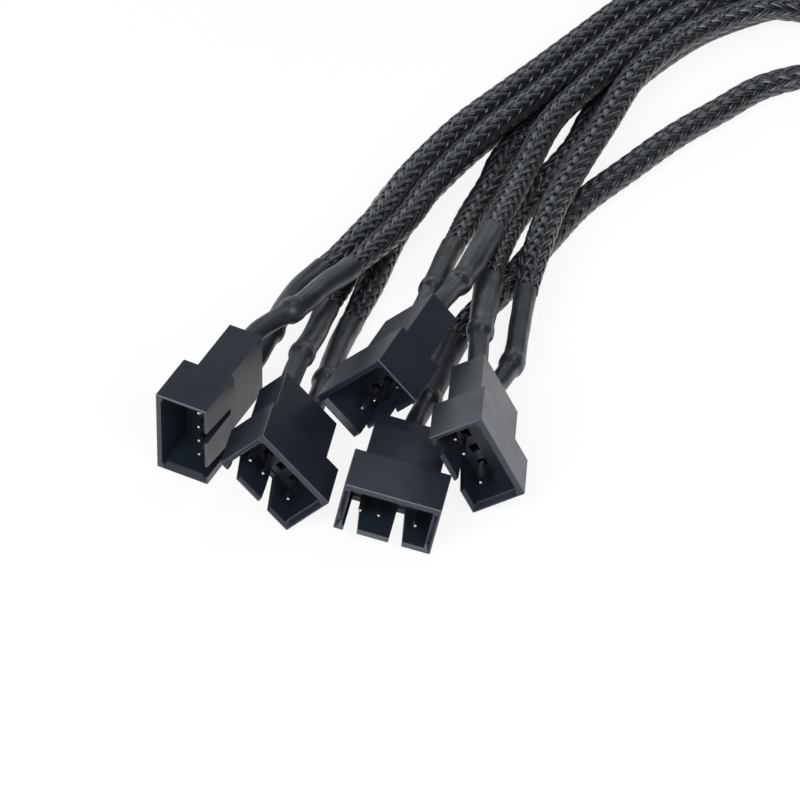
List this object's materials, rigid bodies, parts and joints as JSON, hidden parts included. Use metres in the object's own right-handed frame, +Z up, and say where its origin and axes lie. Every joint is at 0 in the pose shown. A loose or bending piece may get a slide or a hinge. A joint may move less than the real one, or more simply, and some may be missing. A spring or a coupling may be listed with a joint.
{
  "type": "fan splitter cable",
  "caption": "Braided splitter lead for computer fans: keyed pin housings on short braided links, fed by a coiled lead that ends in a socket housing.",
  "frame": {"origin": "on the surface that the object lies on, below the middle of the five pin housings and their heat-shrinks", "axes": "+Z up; +Y runs from the mouths of the pin housings towards their leads, away from the viewer; +X to the right"},
  "size_m": [0.1206, 0.1856, 0.0173],
  "materials": {
    "housing_plastic": "satin black moulded plastic",
    "contact_metal": "tinned contacts",
    "heat_shrink": "satin heat-shrink tube",
    "braid": "braided polyester sleeve",
    "tie_nylon": "satin nylon tie"
  },
  "bodies": {
    "root": {"coil_tie": "tie_nylon", "feed_coil": "braid", "feed_lead": "braid", "feed_tail": "braid", "link_a_c": "braid", "link_b_a": "braid", "link_c_e": "braid", "link_e_d": "braid", "pin_a1": "contact_metal", "pin_a2": "contact_metal", "pin_a3": "contact_metal", "pin_a4": "contact_metal", "pin_b1": "contact_metal", "pin_b2": "contact_metal", "pin_b4": "contact_metal", "pin_c1": "contact_metal", "pin_c2": "contact_metal", "pin_c4": "contact_metal", "pin_d1": "contact_metal", "pin_d2": "contact_metal", "pin_d4": "contact_metal", "pin_e1": "contact_metal", "pin_e2": "contact_metal", "pin_e4": "contact_metal", "pin_housing_a": "housing_plastic", "pin_housing_b": "housing_plastic", "pin_housing_c": "housing_plastic", "pin_housing_d": "housing_plastic", "pin_housing_e": "housing_plastic", "shrink_a_c_at_a": "heat_shrink", "shrink_a_c_at_c": "heat_shrink", "shrink_b_a_at_a": "heat_shrink", "shrink_b_a_at_b": "heat_shrink", "shrink_c_e_at_c": "heat_shrink", "shrink_c_e_at_e": "heat_shrink", "shrink_e_d_at_d": "heat_shrink", "shrink_e_d_at_e": "heat_shrink", "shrink_feed_at_b": "heat_shrink", "shrink_feed_at_socket": "heat_shrink", "socket_contact_1": "contact_metal", "socket_contact_2": "contact_metal", "socket_contact_3": "contact_metal", "socket_contact_4": "contact_metal", "socket_housing": "housing_plastic"}
  },
  "joints": []
}
